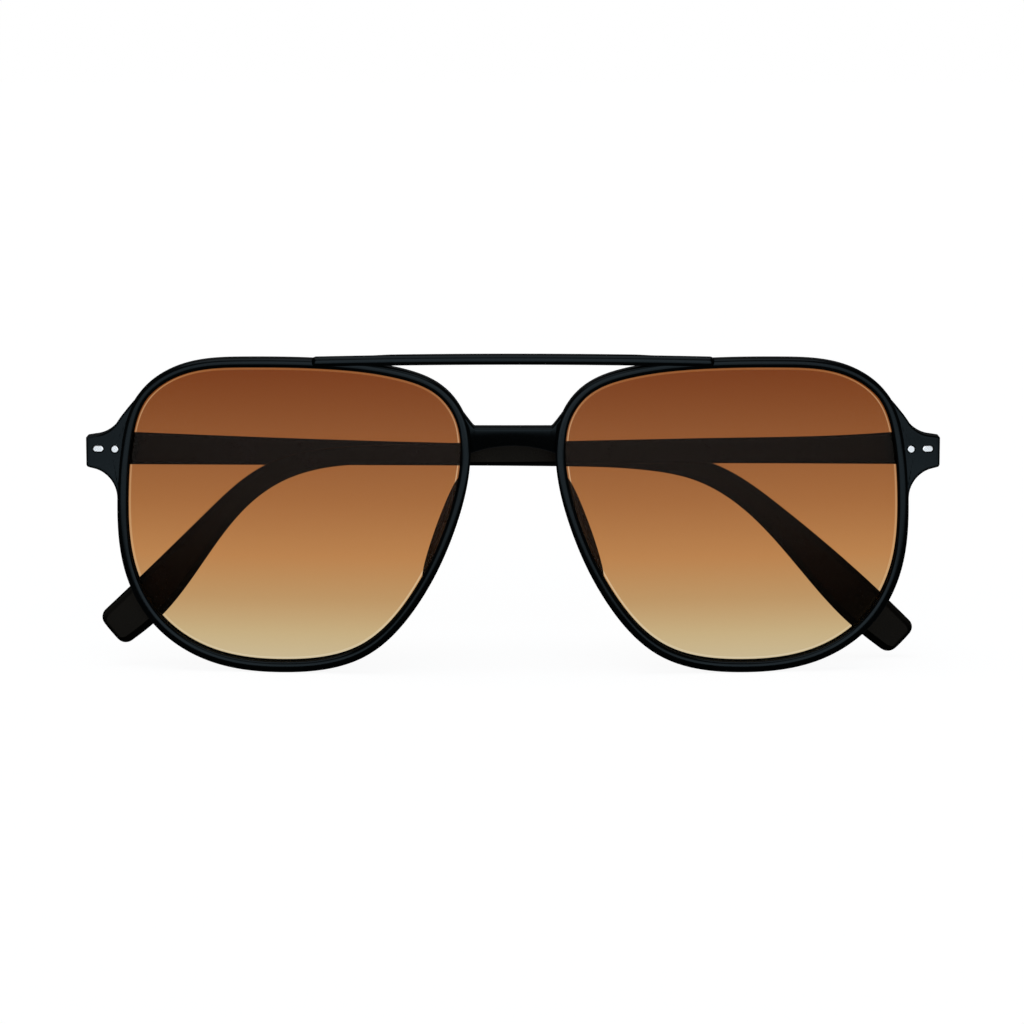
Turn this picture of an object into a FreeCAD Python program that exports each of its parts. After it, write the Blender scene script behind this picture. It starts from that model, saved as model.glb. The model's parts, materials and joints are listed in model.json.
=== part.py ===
"""Aviator sunglasses, folded: moulded front, brow bar, tinted lenses, and two riveted temples.

The front stands in the XZ plane and faces -Y, with +Z up and the bridge on X = 0. Both temples are
folded behind it, the right one first and the left one over it. Left is the -X side. Both faces of
the front and of the lenses are parts of spheres about one centre, as on a moulded wrap front.
Lengths are in millimetres and angles in degrees.
"""

import FreeCAD, Part

import math
import os

os.makedirs("parts", exist_ok=True)
doc = FreeCAD.newDocument("aviator_sunglasses")
Vector = FreeCAD.Vector
Rotation = FreeCAD.Rotation

SIZES = {
    # the front
    "face_radius": (300.0, "radius of the front face, a sphere"),
    "face_height": (26.0, "height of that sphere's centre"),
    "front_thickness": (4.0, "rim depth, front to back"),
    "rim_width": (1.7, "rim width around each lens opening"),
    "rim_drop": (0.1, "how far the rim sits below its opening, so it is wider at the bottom"),
    "blank_depth": (30.0, "depth of the straight blanks before they are cut to the sphere"),
    "bridge_top": (41.7, "top of the lower bridge"),
    "bridge_bottom": (38.4, "underside of the lower bridge at the middle"),
    # the brow bar
    "brow_half_length": (33.5, "half the length of the brow bar"),
    "brow_height": (1.75, "height of the brow bar's section"),
    "brow_top": (53.75, "top of the brow bar at the middle"),
    "brow_drop": (0.55, "how far its ends are below its middle"),
    "brow_proud": (0.45, "how far it stands out from the front face"),
    "brow_depth": (2.4, "how deep it is let into the rims"),
    # the lenses
    "lens_lip": (0.6, "how far the lens reaches into the rim's groove"),
    "lens_setback": (1.3, "lens face behind the front face"),
    "lens_thickness": (2.0, "lens thickness"),
    "groove_play": (0.05, "free space round the lens edge in its groove"),
    # the nose pads
    "pad_thickness": (1.9, "nose pad thickness"),
    "pad_depth": (10.4, "nose pad depth"),
    "pad_height": (19.0, "nose pad height"),
    "pad_x": (11.5, "middle of the nose pad, from the middle"),
    "pad_setback": (5.8, "middle of the nose pad, behind the front face's foremost point"),
    "pad_middle": (23.8, "middle of the nose pad, above the table"),
    "pad_lean": (-20.0, "turn of the nose pad about Y, so it leans away from the nose downwards"),
    "pad_splay": (-12.0, "turn of the nose pad about its length, so it splays out towards the back"),
    # the hinges
    "hinge_x": (66.4, "hinge axis, from the middle"),
    "hinge_height": (36.6, "middle of the hinge"),
    "hinge_y": (14.8, "hinge axis behind the front face's foremost point"),
    "hinge_tilt": (5.0, "lean of the hinge axis, which tips the open front towards the cheeks"),
    "hinge_gap": (1.9, "from the hinge axis to the back of the end piece"),
    "knuckle_radius": (1.4, "outer radius of the knuckles"),
    "bore_radius": (0.70, "bore of the knuckles"),
    "screw_radius": (0.65, "screw shank, and the threaded lowest knuckle"),
    "screw_head_radius": (1.1, "screw head"),
    "screw_head_height": (0.5, "screw head"),
    "screw_slot": (0.3, "width of the driver slot"),
    "front_knuckle": (0.9, "height of each of the three front knuckles"),
    "temple_knuckle": (0.85, "height of each of the two temple knuckles"),
    "knuckle_gap": (0.05, "free space between knuckles"),
    "leaf_thickness": (1.0, "both hinge leaves"),
    "front_leaf_width": (5.6, "front leaf, along X"),
    "front_leaf_height": (4.2, "front leaf, along the axis"),
    "front_leaf_reach": (1.6, "front leaf, from the axis towards the lens"),
    "leaf_overlap": (0.2, "how far the knuckles' webs run into their leaf"),
    "temple_leaf_length": (8.0, "temple leaf, along the arm"),
    "temple_leaf_end": (0.8, "temple leaf, from the axis towards the arm's hinge end"),
    "temple_leaf_height": (3.4, "temple leaf"),
    "temple_leaf_skin": (0.3, "plastic that covers the temple leaf on the arm's inner face"),
    # the studs that show on the front
    "stud_height": (37.2, "middle of both studs"),
    "stud_round_x": (66.75, "round stud, from the middle"),
    "stud_round_radius": (0.62, "round stud"),
    "stud_oblong_x": (69.7, "oblong stud, from the middle"),
    "stud_oblong_length": (1.75, "oblong stud, along X"),
    "stud_oblong_height": (1.05, "oblong stud, along Z"),
    "stud_proud": (0.05, "how far the studs stand out from the front face"),
    "stud_bite": (0.7, "how far the studs reach into the hinge leaf"),
    # the temples
    "arm_thickness": (2.6, "temple thickness"),
    "arm_offset": (2.0, "temple's inner face from the hinge axis"),
    "arm_butt": (1.2, "temple's hinge end, beyond the hinge axis"),
    "core_depth": (1.75, "core wire's middle, from the arm's inner face"),
    "arm_edge": (0.7, "rounding of the temple's long edges"),
    "tip_corner": (1.7, "corner radius of the ear tip"),
    "core_radius": (0.6, "steel core wire"),
    "core_bend": (25.0, "bend radius of the core wire"),
    "rivet_radius": (0.55, "temple rivets"),
    "left_fold": (3.0, "left temple when folded, out from parallel with the front"),
    "right_fold": (-0.8, "right temple when folded, out from parallel with the front"),
    # the origin
    "front_y": (-12.3, "foremost point of the front face, from the middle of the folded depth"),
}

sheet = doc.addObject("Spreadsheet::Sheet", "Sizes")
for row, (alias, (value, meaning)) in enumerate(SIZES.items(), start=1):
    sheet.set(f"A{row}", meaning)
    sheet.set(f"B{row}", str(value))
    sheet.setAlias(f"B{row}", alias)
doc.recompute()


def size(alias):
    """The value of one cell of the sheet."""
    return float(sheet.get(alias))


def add(kind, name, properties=None, **formulas):
    """A document object with its properties set and its sizes bound to the sheet."""
    made = doc.addObject(kind, name)
    for key, value in (properties or {}).items():
        setattr(made, key, value)
    for key, formula in formulas.items():
        made.setExpression(key.replace("__", "."), formula)
    return made


def cut(name, base, tool):
    return add("Part::Cut", name, {"Base": base, "Tool": tool})


def common(name, base, tool):
    return add("Part::Common", name, {"Base": base, "Tool": tool})


def fuse(name, *shapes):
    return add("Part::MultiFuse", name, {"Shapes": list(shapes)})


def mirror(name, source):
    """The same shape on the other side of X = 0."""
    return add("Part::Mirroring", name, {"Source": source, "Normal": Vector(1, 0, 0)})


def face_sphere(name, setback):
    """A ball about the front's centre, its surface set back from the front face by a formula."""
    return add("Part::Sphere", name,
               Radius=f"Sizes.face_radius - ({setback})",
               Placement__Base__y="Sizes.front_y + Sizes.face_radius",
               Placement__Base__z="Sizes.face_height")


def face_shell(name, front, back):
    """The space between two setbacks behind the front face."""
    return cut(name, face_sphere(name + "_outer", front), face_sphere(name + "_inner", back))


def drawn(name, curves):
    """A sketch in the XZ plane that holds the given curves."""
    sketch = doc.addObject("Sketcher::SketchObject", name)
    sketch.Placement = FreeCAD.Placement(Vector(0, 0, 0), Rotation(Vector(1, 0, 0), 90))
    sketch.setExpression("Placement.Base.y", "Sizes.front_y - Sizes.brow_proud")
    sketch.addGeometry(curves, False)
    return sketch


def blank(name, profile):
    """A profile in the XZ plane carried straight back."""
    return add("Part::Extrusion", name,
               {"Base": profile, "DirMode": "Custom", "Dir": Vector(0, 1, 0), "Solid": True},
               LengthFwd="Sizes.blank_depth")


def points(pairs):
    return [Vector(x, z, 0) for x, z in pairs]


def spline(pairs, closed=False):
    """A smooth curve through (x, z) points."""
    curve = Part.BSplineCurve()
    curve.interpolate(Points=points(pairs), PeriodicFlag=closed)
    return curve


def line(start, end):
    return Part.LineSegment(*points([start, end]))


def arc(start, middle, end):
    return Part.Arc(*points([start, middle, end]))


# ---------------------------------------------------------------------------------------------
# Lens openings: the aviator drop shape, widest near the hinge and cut away beside the nose.
# ---------------------------------------------------------------------------------------------

OPENING = [
    (8.75, 37.2), (9.6, 42.9), (12.6, 46.9), (19.0, 49.6), (31.4, 51.1), (45.0, 51.2),
    (55.8, 49.6), (61.6, 45.2), (63.9, 38.5), (64.7, 28.5), (63.7, 17.6), (59.4, 9.2),
    (52.2, 4.0), (38.5, 1.8), (25.4, 4.6), (17.4, 12.7), (10.95, 26.1),
]

OPENING_CURVE = spline(OPENING, closed=True)


def grown(reach, steps=48):
    """The lens opening's outline moved outwards all round by a reach."""
    first, last = OPENING_CURVE.FirstParameter, OPENING_CURVE.LastParameter
    moved = []
    for step in range(steps):
        at = first + (last - first) * step / steps
        along = OPENING_CURVE.tangent(at)[0]
        moved.append(OPENING_CURVE.value(at) + Vector(-along.y, along.x, 0) * reach)
    curve = Part.BSplineCurve()
    curve.interpolate(Points=moved, PeriodicFlag=True)
    return curve


# ---------------------------------------------------------------------------------------------
# Hinge frames: the axis leans by hinge_tilt, and a folded temple turns about it by its fold angle.
# ---------------------------------------------------------------------------------------------

def hinge_frame(shape, fold=0.0):
    """Stands a shape on the left hinge: its Z is the axis, its +X runs along the folded arm."""
    lean = Rotation(Vector(1, 0, 0), -size("hinge_tilt"))
    turn = Rotation(Vector(0, 0, 1), fold)
    shape.Placement = FreeCAD.Placement(Vector(0, 0, 0), lean.multiply(turn))
    shape.setExpression("Placement.Base.x", "-Sizes.hinge_x")
    shape.setExpression("Placement.Base.y", "Sizes.front_y + Sizes.hinge_y")
    shape.setExpression("Placement.Base.z", "Sizes.hinge_height")
    return shape


def z_of_knuckle(index):
    """Lower face of knuckle 0 to 4, counted from below; even ones belong to the front."""
    low = -(3 * size("front_knuckle") + 2 * size("temple_knuckle") + 4 * size("knuckle_gap")) / 2
    fronts, temples = (index + 1) // 2, index // 2
    return (low + fronts * size("front_knuckle") + temples * size("temple_knuckle")
            + index * size("knuckle_gap"))


def knuckle(name, index, web_start, web_end):
    """One knuckle: a barrel on the axis and the web that joins it to its leaf."""
    height = "front_knuckle" if index % 2 == 0 else "temple_knuckle"
    low = z_of_knuckle(index)
    barrel = add("Part::Cylinder", name + "_barrel", Radius="Sizes.knuckle_radius",
                 Height=f"Sizes.{height}")
    barrel.Placement.Base = Vector(0, 0, low)
    web = add("Part::Box", name + "_web", {"Width": web_end - web_start},
              Length="2 * Sizes.knuckle_radius", Height=f"Sizes.{height}")
    web.Placement.Base = Vector(-size("knuckle_radius"), web_start, low)
    return fuse(name, barrel, web)


def bore(name, radius, low, high):
    hole = add("Part::Cylinder", name, {"Height": high - low}, Radius=f"Sizes.{radius}")
    hole.Placement.Base = Vector(0, 0, low)
    return hole


def front_hinge(name):
    """Three knuckles on a plate that is set into the back of the end piece."""
    depth = size("hinge_gap") + size("leaf_thickness")
    total = -2 * z_of_knuckle(0)
    leaf = add("Part::Box", name + "_leaf", Length="Sizes.front_leaf_width",
               Width="Sizes.leaf_thickness", Height="Sizes.front_leaf_height")
    leaf.Placement.Base = Vector(size("front_leaf_reach") - size("front_leaf_width"), -depth,
                                 -size("front_leaf_height") / 2)
    web_start = -size("hinge_gap") - size("leaf_overlap")
    knuckles = [knuckle(f"{name}_knuckle{i}", i, web_start, 0) for i in (0, 2, 4)]
    threaded = z_of_knuckle(0) + size("front_knuckle")
    holes = fuse(name + "_holes",
                 bore(name + "_thread", "screw_radius", -total, threaded),
                 bore(name + "_bore", "bore_radius", threaded, total))
    return cut(name + "_made", fuse(name + "_solid", leaf, *knuckles), holes)


def temple_hinge(name):
    """Two knuckles on a plate that is moulded in just under the arm's inner face."""
    leaf = add("Part::Box", name + "_leaf", Length="Sizes.temple_leaf_length",
               Width="Sizes.leaf_thickness", Height="Sizes.temple_leaf_height")
    depth = size("arm_offset") + size("temple_leaf_skin")
    leaf.Placement.Base = Vector(-size("temple_leaf_end"), depth, -size("temple_leaf_height") / 2)
    web_end = depth + size("leaf_overlap")
    knuckles = [knuckle(f"{name}_knuckle{i}", i, 0, web_end) for i in (1, 3)]
    hole = bore(name + "_bore", "bore_radius", z_of_knuckle(0), -z_of_knuckle(0))
    return cut(name + "_made", fuse(name + "_solid", leaf, *knuckles), hole)


def hinge_screw(name):
    """A slotted screw, pushed down through the knuckles from above."""
    top = -z_of_knuckle(0)
    shank = bore(name + "_shank", "screw_radius", -top, top)
    head = add("Part::Cylinder", name + "_head", Radius="Sizes.screw_head_radius",
               Height="Sizes.screw_head_height")
    head.Placement.Base = Vector(0, 0, top)
    slot = add("Part::Box", name + "_slot", Length="2 * Sizes.screw_head_radius",
               Width="Sizes.screw_slot", Height="Sizes.screw_head_height")
    slot.Placement.Base = Vector(-size("screw_head_radius"), -size("screw_slot") / 2,
                                 top + size("screw_head_height") / 2)
    return cut(name + "_made", fuse(name + "_solid", shank, head), slot)


# ---------------------------------------------------------------------------------------------
# Temples: a straight bar, tall at the hinge, and an ear end bent down and widened to a paddle.
# Points are (along the arm from the hinge axis, above the hinge's middle).
# ---------------------------------------------------------------------------------------------

TEMPLES = {
    "left": {
        "upper": [(1.5, 2.75), (30.0, 1.6), (60.0, 0.7), (85.0, -0.1), (95.5, -1.2),
                  (102.0, -3.2), (112.0, -9.7), (129.0, -24.2), (135.75, -30.75)],
        "lower": [(131.15, -35.5), (124.5, -30.3), (110.0, -14.2), (104.8, -9.5),
                  (98.0, -5.7), (90.0, -3.95), (75.0, -3.2), (40.0, -2.95), (1.5, -2.75)],
        "core": [(7.6, -0.1), (99.6, -2.3), (126.0, -26.2)],
    },
    "right": {
        "upper": [(1.5, 2.75), (8.5, 2.3), (30.0, 1.75), (60.0, 1.15), (90.0, 0.5),
                  (101.5, -0.6), (108.3, -2.8), (118.2, -10.7), (131.4, -23.5), (136.6, -28.4)],
        "lower": [(132.3, -33.5), (127.2, -29.6), (115.6, -14.7), (110.8, -9.3),
                  (105.0, -5.4), (98.0, -3.3), (85.0, -2.75), (45.0, -2.6), (1.5, -2.7)],
        "core": [(7.6, 0.0), (105.2, -1.1), (128.5, -25.7)],
    },
}


def origin_plane(body, role):
    return next(f for f in body.Origin.OriginFeatures if f.Role == role)


def edges_where(shape, test):
    """Names of a shape's edges that pass a test."""
    return [f"Edge{number}" for number, edge in enumerate(shape.Edges, start=1) if test(edge)]


def is_tip_corner(edge):
    """True for the two straight edges through the arm's thickness at the ear tip."""
    box, tip_starts = edge.BoundBox, 125.0
    return box.XMin > tip_starts and box.XLength < 0.01 and box.YLength > 1.0


def is_long_edge(edge):
    """True for an edge of the arm's inner or outer face, apart from its square hinge end."""
    box = edge.BoundBox
    return box.YLength < 0.01 and box.XMax > 0.0


def arm(name, upper, lower):
    """The plastic arm in its hinge's frame: one padded outline with rounded corners and edges."""
    body = doc.addObject("PartDesign::Body", name)
    sketch = body.newObject("Sketcher::SketchObject", name + "_outline")
    sketch.AttachmentSupport = [(origin_plane(body, "XZ_Plane"), "")]
    sketch.MapMode = "FlatFace"
    sketch.setExpression("AttachmentOffset.Base.z", "-Sizes.arm_offset")
    top = (-size("arm_butt"), upper[0][1])
    bottom = (-size("arm_butt"), lower[-1][1])
    sketch.addGeometry([spline(upper), line(upper[-1], lower[0]), spline(lower),
                        line(lower[-1], bottom), line(bottom, top), line(top, upper[0])], False)
    pad = body.newObject("PartDesign::Pad", name + "_pad")
    pad.Profile = sketch
    pad.Reversed = True
    pad.setExpression("Length", "Sizes.arm_thickness")
    doc.recompute()
    tip = body.newObject("PartDesign::Fillet", name + "_tip")
    tip.Base = (pad, edges_where(pad.Shape, is_tip_corner))
    tip.setExpression("Radius", "Sizes.tip_corner")
    doc.recompute()
    rounded = body.newObject("PartDesign::Fillet", name + "_edges")
    rounded.Base = (tip, edges_where(tip.Shape, is_long_edge))
    rounded.setExpression("Radius", "Sizes.arm_edge")
    doc.recompute()
    return body


def core_wire(name, route):
    """A steel wire down the middle of the arm: two straight runs joined by one tangent bend."""
    depth = size("arm_offset") + size("core_depth")
    start, corner, end = [Vector(x, depth, z) for x, z in route]
    into, out = (start - corner).normalize(), (end - corner).normalize()
    half = into.getAngle(out) / 2
    reach = size("core_bend") / math.tan(half)
    first, last = corner + into * reach, corner + out * reach
    centre = corner + (into + out).normalize() * (size("core_bend") / math.sin(half))
    middle = centre + (corner - centre).normalize() * size("core_bend")
    path = Part.Wire([Part.LineSegment(start, first).toShape(),
                      Part.Arc(first, middle, last).toShape(),
                      Part.LineSegment(last, end).toShape()])
    section = Part.Wire(Part.Circle(start, into, size("core_radius")).toShape())
    wire = doc.addObject("Part::Feature", name)
    wire.Shape = path.makePipeShell([section], True, True)
    return wire


RIVETS_ALONG = (2.9, 5.6)       # from the hinge axis


def temple_rivets(name):
    """Two pins through the temple's hinge leaf, flush with the arm's outer face."""
    pins = []
    for number, along in enumerate(RIVETS_ALONG):
        pin = add("Part::Cylinder", f"{name}_pin{number}", Radius="Sizes.rivet_radius",
                  Height="Sizes.arm_thickness - Sizes.temple_leaf_skin")
        pin.Placement = FreeCAD.Placement(
            Vector(along, size("arm_offset") + size("arm_thickness"), 0),
            Rotation(Vector(1, 0, 0), 90))
        pins.append(pin)
    return add("Part::Compound", name, {"Links": pins})


NODES = []


def node(label, shape):
    """Names a finished sub-part."""
    shape.Label = label
    NODES.append(shape)
    return shape


def pair(kind, built_on, shape):
    """Two nodes that mirror each other, from the one built on the left or on the right."""
    other = "left" if built_on == "right" else "right"
    return (node(f"{kind}_{built_on}", shape),
            node(f"{kind}_{other}", mirror(f"{kind}_mirrored", shape)))


def temple(side):
    """One arm with its core wire, hinge leaf and rivets, folded at its own angle."""
    shape, fold = TEMPLES[side], size(f"{side}_fold")
    plastic = hinge_frame(arm(f"arm_{side}", shape["upper"], shape["lower"]), fold)
    core = hinge_frame(core_wire(f"core_{side}", shape["core"]), fold)
    rivets = hinge_frame(temple_rivets(f"rivets_{side}"), fold)
    leaf = cut(f"leaf_{side}", hinge_frame(temple_hinge(f"temple_hinge_{side}"), fold), rivets)
    bored = cut(f"arm_bored_{side}", plastic, fuse(f"arm_holes_{side}", core, leaf, rivets))
    pieces = {"temple": bored, "temple_core": core, "temple_hinge": leaf, "temple_rivets": rivets}
    for kind, piece in pieces.items():
        if side == "right":
            piece = mirror(f"{kind}_on_the_right", piece)
        node(f"{kind}_{side}", piece)


# ---------------------------------------------------------------------------------------------
# Front frame
# ---------------------------------------------------------------------------------------------

def closed(curves):
    """Curves joined to a closed profile by straight lines wherever two of them don't meet."""
    joined = []
    for curve, after in zip(curves, curves[1:] + curves[:1]):
        joined.append(curve)
        end, start = curve.value(curve.LastParameter), after.value(after.FirstParameter)
        if (end - start).Length > 1e-6:
            joined.append(Part.LineSegment(end, start))
    return joined


def bridge_outline():
    """The lower bridge: flat on top with steep fillets into the rims, a shallow arch below."""
    top, low = size("bridge_top"), size("bridge_bottom")
    return closed([
        arc((-8.6, low - 2.0), (0, low), (8.6, low - 2.0)),
        arc((8.75, top + 3.05), (7.6, top + 1.5), (6.35, top)),
        arc((-6.35, top), (-7.6, top + 1.5), (-8.75, top + 3.05)),
    ])


def end_piece_outline():
    """The flat end piece on the right, with hollow fillets into the rim above and below."""
    return closed([
        arc((64.15, 44.0), (66.3, 41.3), (69.6, 39.4)),
        arc((71.1, 39.15), (71.5, 39.0), (71.7, 38.6)),
        arc((71.65, 34.85), (71.5, 34.4), (71.1, 34.2)),
        arc((69.9, 33.9), (67.8, 32.6), (66.4, 29.0)),
        line((65.6, 28.6), (63.3, 44.2)),
    ])


def brow_outline():
    """The brow bar seen from the front: a slightly arched strip with rounded ends."""
    half, top, tall = size("brow_half_length"), size("brow_top"), size("brow_height")
    drop, round_end = size("brow_drop"), size("brow_height") / 2
    return closed([
        arc((-half + round_end, top - drop), (0, top), (half - round_end, top - drop)),
        arc((half - round_end, top - drop), (half, top - drop - round_end),
            (half - round_end, top - drop - tall)),
        arc((half - round_end, top - drop - tall), (0, top - tall),
            (-half + round_end, top - drop - tall)),
        arc((-half + round_end, top - drop - tall), (-half, top - drop - round_end),
            (-half + round_end, top - drop)),
    ])


def lens_solid(name, reach, front, back):
    """The lens outline, grown by a reach, between two setbacks behind the front face."""
    plug = blank(name + "_blank", drawn(name + "_outline", [grown(reach)]))
    return common(name, plug, face_shell(name + "_shell", front, back))


def end_block(plate):
    """The end piece runs back to a flat face that leans with the hinge axis."""
    reach = size("blank_depth")
    behind = add("Part::Box", "behind_end_piece", {"Length": 2 * reach, "Height": 2 * reach},
                 Width="Sizes.blank_depth")
    behind.Placement.Base = Vector(-reach, -size("hinge_gap"), -reach)
    space = hinge_frame(add("Part::Compound", "space_behind", {"Links": [behind]}))
    solid = common("end_piece_domed", plate, face_sphere("end_piece_face", "0"))
    return cut("end_piece", solid, mirror("space_behind_right", space))


def studs_of_the_right():
    """The round and the oblong metal stud of the right end piece, from the face into the leaf."""
    circle = Part.Circle(Vector(size("stud_round_x"), size("stud_height"), 0), Vector(0, 0, 1),
                         size("stud_round_radius"))
    high = size("stud_oblong_height") / 2
    low_z, top_z = size("stud_height") - high, size("stud_height") + high
    left = size("stud_oblong_x") - size("stud_oblong_length") / 2 + high
    right = size("stud_oblong_x") + size("stud_oblong_length") / 2 - high
    oblong = closed([
        arc((right, low_z), (right + high, size("stud_height")), (right, top_z)),
        arc((left, top_z), (left - high, size("stud_height")), (left, low_z)),
    ])
    face = face_sphere("stud_face", "-Sizes.stud_proud")
    made = []
    for kind, curves in (("round", [circle]), ("oblong", oblong)):
        rod = blank(f"stud_{kind}_rod", drawn(f"stud_{kind}_outline", curves))
        rod.setExpression("LengthFwd", "Sizes.hinge_y - Sizes.hinge_gap - Sizes.leaf_thickness"
                          " + Sizes.brow_proud + Sizes.stud_bite")
        made.append(common(f"stud_{kind}", rod, face))
    return made


def nose_pad():
    """The right nose pad: a flat oval behind the rim, splayed outwards towards the back."""
    oval = add("Part::Ellipsoid", "nose_pad_oval", Radius2="Sizes.pad_thickness / 2",
               Radius3="Sizes.pad_depth / 2", Radius1="Sizes.pad_height / 2")
    lean = Rotation(Vector(0, 1, 0), size("pad_lean"))
    splay = Rotation(Vector(0, 0, 1), size("pad_splay"))
    oval.Placement = FreeCAD.Placement(Vector(0, 0, 0), lean.multiply(splay))
    oval.setExpression("Placement.Base.x", "Sizes.pad_x")
    oval.setExpression("Placement.Base.y", "Sizes.front_y + Sizes.pad_setback")
    oval.setExpression("Placement.Base.z", "Sizes.pad_middle")
    return common("nose_pad", oval, face_sphere("nose_pad_seat", "Sizes.front_thickness"))


opening_right = blank("opening_right", drawn("opening_outline", [OPENING_CURVE]))
openings = fuse("openings", opening_right, mirror("opening_left", opening_right))

rim_right = blank("rim_right", drawn("rim_outline", [grown(size("rim_width"))]))
rim_right.setExpression("Placement.Base.z", "-Sizes.rim_drop")
rims = fuse("rims", rim_right, mirror("rim_left", rim_right),
            blank("bridge", drawn("bridge_outline", bridge_outline())))
rims_domed = common("rims_domed", rims, face_shell("front_shell", "0", "Sizes.front_thickness"))

end_right = end_block(blank("end_plate", drawn("end_outline", end_piece_outline())))
front_blank = cut("front_opened",
                  fuse("front_blank", rims_domed, end_right, mirror("end_left", end_right)),
                  openings)

lens_right = lens_solid("lens", size("lens_lip"), "Sizes.lens_setback",
                        "Sizes.lens_setback + Sizes.lens_thickness")
groove = lens_solid("groove", size("lens_lip") + size("groove_play"),
                    "Sizes.lens_setback - Sizes.groove_play",
                    "Sizes.lens_setback + Sizes.lens_thickness + Sizes.groove_play")
grooves = fuse("grooves", groove, mirror("groove_left", groove))
brow_strip = common("brow_strip", blank("brow_blank", drawn("brow_outline", brow_outline())),
                    face_shell("brow_shell", "-Sizes.brow_proud", "Sizes.brow_depth"))
brow = cut("brow", brow_strip, grooves)

stud_round, stud_oblong = studs_of_the_right()
hinge_left = cut("front_hinge_drilled", hinge_frame(front_hinge("front_hinge")),
                 mirror("studs_left", fuse("studs", stud_round, stud_oblong)))
hinge_both = fuse("hinges", hinge_left, mirror("hinge_right", hinge_left))
studs_both = fuse("studs_both", stud_round, stud_oblong,
                  mirror("stud_round_other", stud_round), mirror("stud_oblong_other", stud_oblong))
cutters = fuse("front_cutters", grooves, brow, hinge_both, studs_both)

node("front_frame", cut("front_frame_made", front_blank, cutters))
node("brow_bar", brow)
pair("lens", "right", lens_right)
pair("nose_pad", "right", nose_pad())
pair("hinge_front", "left", hinge_left)
pair("hinge_screw", "left", hinge_frame(hinge_screw("screw")))
pair("stud_round", "right", stud_round)
pair("stud_oblong", "right", stud_oblong)
temple("left")
temple("right")

doc.recompute()


def check(made):
    """Stops on any object that FreeCAD could not compute."""
    for thing in doc.Objects:
        if {"Invalid", "Error"} & set(thing.State):
            raise RuntimeError(f"{thing.Label}: {thing.State}")
    for piece in made:
        if piece.Shape.isNull() or not piece.Shape.isValid():
            raise RuntimeError(f"{piece.Label} has no valid shape")


check(NODES)
for piece in NODES:
    piece.Shape.exportStep(f"parts/{piece.Label}.step")
    box = piece.Shape.BoundBox
    print(f"{piece.Label:22s} {len(piece.Shape.Solids)} solid {piece.Shape.Volume:9.1f} mm3  "
          f"x {box.XMin:7.2f} {box.XMax:7.2f}  y {box.YMin:7.2f} {box.YMax:7.2f}  "
          f"z {box.ZMin:7.2f} {box.ZMax:7.2f}")
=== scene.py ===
# %% [markdown]
# # Aviator sunglasses
# A pair of moulded sunglasses stands folded on a pale table. The CAD model gives the pieces that
# hold and move; this script gives every visible surface its real section and its finish.
# Lengths are worked out in millimetres and turned to metres when a mesh is made.

# %% Load the frame
import json

import bmesh
import bpy
import numpy as np
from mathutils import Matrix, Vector


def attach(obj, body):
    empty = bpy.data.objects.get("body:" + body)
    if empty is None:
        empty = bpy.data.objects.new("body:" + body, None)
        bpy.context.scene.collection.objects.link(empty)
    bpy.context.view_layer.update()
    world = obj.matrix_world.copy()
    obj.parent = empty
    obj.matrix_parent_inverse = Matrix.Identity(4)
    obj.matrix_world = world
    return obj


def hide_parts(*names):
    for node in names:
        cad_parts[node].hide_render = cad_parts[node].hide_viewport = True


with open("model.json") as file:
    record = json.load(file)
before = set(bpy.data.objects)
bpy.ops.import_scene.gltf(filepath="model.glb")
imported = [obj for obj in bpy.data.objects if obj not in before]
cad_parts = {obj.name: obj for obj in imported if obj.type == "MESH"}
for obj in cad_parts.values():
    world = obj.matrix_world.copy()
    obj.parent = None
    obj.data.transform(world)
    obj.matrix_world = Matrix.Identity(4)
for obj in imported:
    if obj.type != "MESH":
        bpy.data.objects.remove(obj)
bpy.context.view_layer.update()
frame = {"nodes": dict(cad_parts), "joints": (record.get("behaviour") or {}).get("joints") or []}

MM = 0.001
JOINTS = {joint["child"]: joint for joint in frame["joints"]}

# %% [markdown]
# ## The camera
# A product picture is taken from far away with a long lens, so that the near and far parts keep
# the same scale. The camera looks square at the front, from a little above.

# %% Camera
FRAME_WIDTH = 171.0          # what the picture spans, side to side, at the front
CAMERA_DISTANCE = 800.0
CAMERA_RISE = np.radians(7.0)
SENSOR = 36.0
AIM = np.array([-0.17, -8.3, 27.1])

back_off = np.array([0.0, -np.cos(CAMERA_RISE), np.sin(CAMERA_RISE)]) * CAMERA_DISTANCE
camera_data = bpy.data.cameras.new("camera")
camera_data.sensor_width = SENSOR
camera_data.lens = SENSOR * CAMERA_DISTANCE / FRAME_WIDTH
camera_data.clip_start = 0.01
camera = bpy.data.objects.new("camera", camera_data)
camera.location = (AIM + back_off) * MM
camera.rotation_euler = (np.pi / 2 - CAMERA_RISE, 0.0, 0.0)
bpy.context.scene.collection.objects.link(camera)
bpy.context.scene.camera = camera
print("lens", round(camera_data.lens, 1), "mm")

# %% [markdown]
# ## The studio
# Black glossy things are lit by what they mirror. The rims' crowns face the front, so they mirror
# a pale card there and the lit table before it, while their steep sides mirror a dark room and
# stay black. So the room is nearly dark, apart from that card and one wide soft light high above.
# The camera itself sees plain white behind the object, as on a lit paper sweep.

# %% Colour helper
def linear(code):
    """A six-digit sRGB hex colour as linear red, green and blue: the standard sRGB curve."""
    value = np.array([int(code[i:i + 2], 16) for i in (1, 3, 5)]) / 255.0
    low, high = value / 12.92, ((value + 0.055) / 1.055) ** 2.4
    return np.where(value <= 0.04045, low, high)


def rgba(code):
    return (*linear(code), 1.0)


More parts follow.
